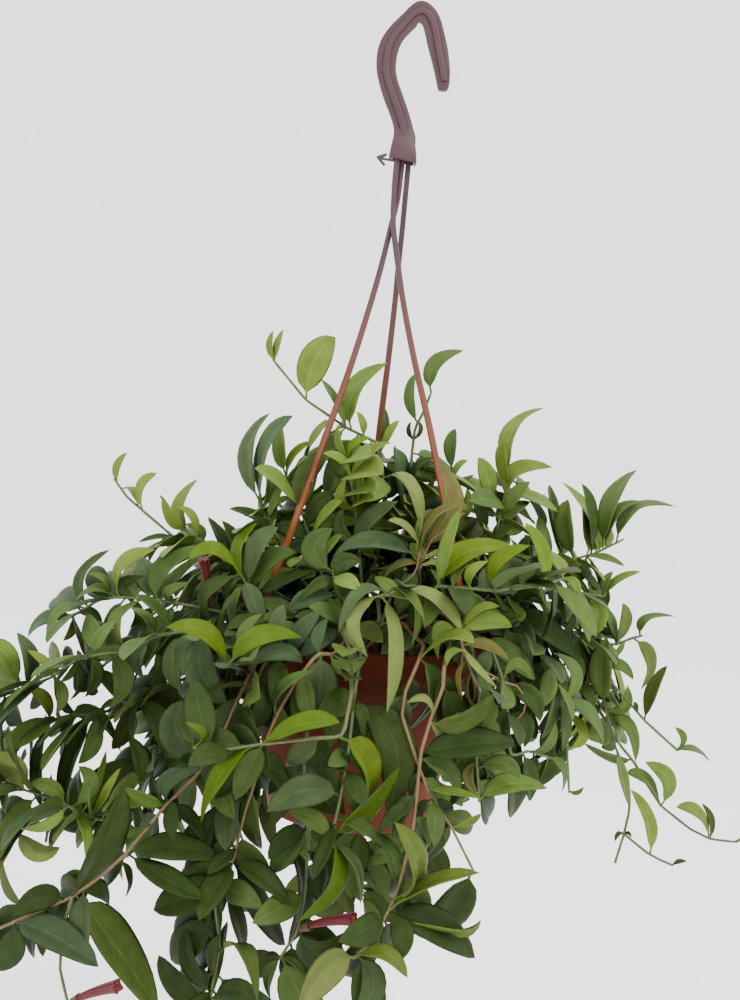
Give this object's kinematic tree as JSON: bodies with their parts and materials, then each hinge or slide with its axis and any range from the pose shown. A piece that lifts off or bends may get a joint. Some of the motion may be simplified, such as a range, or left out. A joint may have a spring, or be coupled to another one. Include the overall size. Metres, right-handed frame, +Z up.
{
  "type": "lipstick plant hanging basket",
  "caption": "Trailing lipstick plant in a round plastic hanging pot, carried by three straps from one open hook.",
  "frame": {"origin": "the seat inside the top of the hook, where a rail or a ceiling hook carries the part", "axes": "+Z up, +X to the right of the usual view, +Y away from the viewer"},
  "size_m": [0.5695, 0.3827, 0.6988],
  "materials": {
    "hanger_plastic": "satin moulded plastic",
    "pot_plastic": "matt moulded plastic",
    "potting_soil": "loose and matt",
    "foliage": "waxy leaf",
    "petals": "soft petal"
  },
  "bodies": {
    "root": {"bloom_centre": "petals", "bloom_left": "petals", "bloom_low": "petals", "hook": "hanger_plastic", "pot": "pot_plastic", "shoot_back_1": "foliage", "shoot_back_2": "foliage", "soil": "potting_soil", "spray_01": "foliage", "spray_02": "foliage", "spray_03": "foliage", "spray_04": "foliage", "spray_05": "foliage", "spray_06": "foliage", "spray_07": "foliage", "spray_08": "foliage", "spray_09": "foliage", "spray_10": "foliage", "spray_11": "foliage", "spray_12": "foliage", "spray_13": "foliage", "spray_14": "foliage", "spray_15": "foliage", "spray_16": "foliage", "spray_17": "foliage", "spray_18": "foliage", "spray_19": "foliage", "spray_20": "foliage", "spray_21": "foliage", "spray_22": "foliage", "spray_23": "foliage", "spray_24": "foliage", "spray_25": "foliage", "spray_26": "foliage", "spray_27": "foliage", "spray_28": "foliage", "spray_29": "foliage", "spray_30": "foliage", "spray_31": "foliage", "spray_32": "foliage", "spray_33": "foliage", "spray_34": "foliage", "spray_35": "foliage", "spray_36": "foliage", "spray_37": "foliage", "spray_38": "foliage", "spray_39": "foliage", "spray_back_1": "foliage", "spray_back_10": "foliage", "spray_back_2": "foliage", "spray_back_3": "foliage", "spray_back_4": "foliage", "spray_back_5": "foliage", "spray_back_6": "foliage", "spray_back_7": "foliage", "spray_back_8": "foliage", "spray_back_9": "foliage", "strap_back": "hanger_plastic", "strap_left": "hanger_plastic", "strap_right": "hanger_plastic"}
  },
  "joints": []
}
